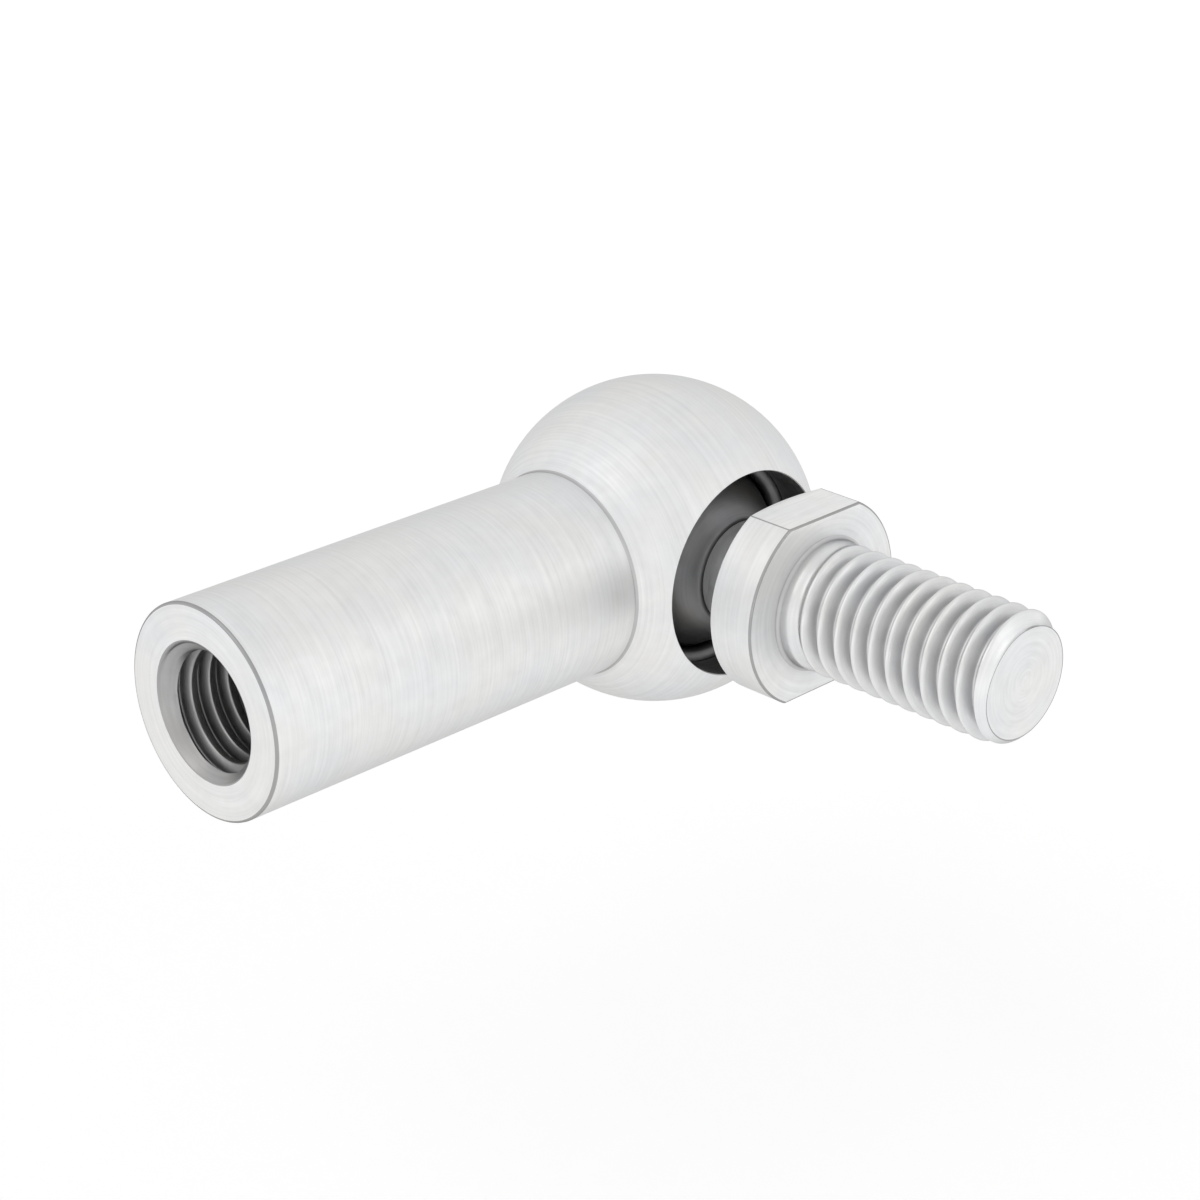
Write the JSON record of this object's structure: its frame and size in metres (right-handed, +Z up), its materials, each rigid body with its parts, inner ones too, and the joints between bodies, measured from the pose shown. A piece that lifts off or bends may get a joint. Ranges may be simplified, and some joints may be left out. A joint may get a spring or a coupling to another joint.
{
  "type": "angle ball joint",
  "caption": "Right-angle ball joint: a ball stud with a two-flat collar and threaded end swivels in the round head of an internally threaded shank, kept in by a wire ring.",
  "frame": {"origin": "centre of the threaded shank's mouth, on its end face", "axes": "+X out of the mouth along the shank's axis, +Y out along the ball stud, +Z up; the two axes lie in one plane and cross at the centre of the round head"},
  "size_m": [0.0284, 0.0246, 0.0128],
  "materials": {
    "socket_steel": "turned steel with a bright satin zinc plating",
    "stud_steel": "turned steel with a bright satin zinc plating, the ball polished",
    "ring_steel": "drawn spring steel wire"
  },
  "bodies": {
    "socket": {"ball_socket": "socket_steel"},
    "ring": {"snap_ring": "ring_steel"},
    "stud": {"ball_stud": "stud_steel"}
  },
  "joints": [
    {"name": "stud_turn", "type": "hinge", "parent": "socket", "child": "ring", "pos_m": [-0.022, 0.00095, 0], "axis": [0, 1, 0], "continuous": true},
    {"name": "stud_swing", "type": "hinge", "parent": "ring", "child": "stud", "pos_m": [-0.022, 0.00095, 0], "axis": [1, 0, 0], "range_deg": [-18, 18]}
  ]
}
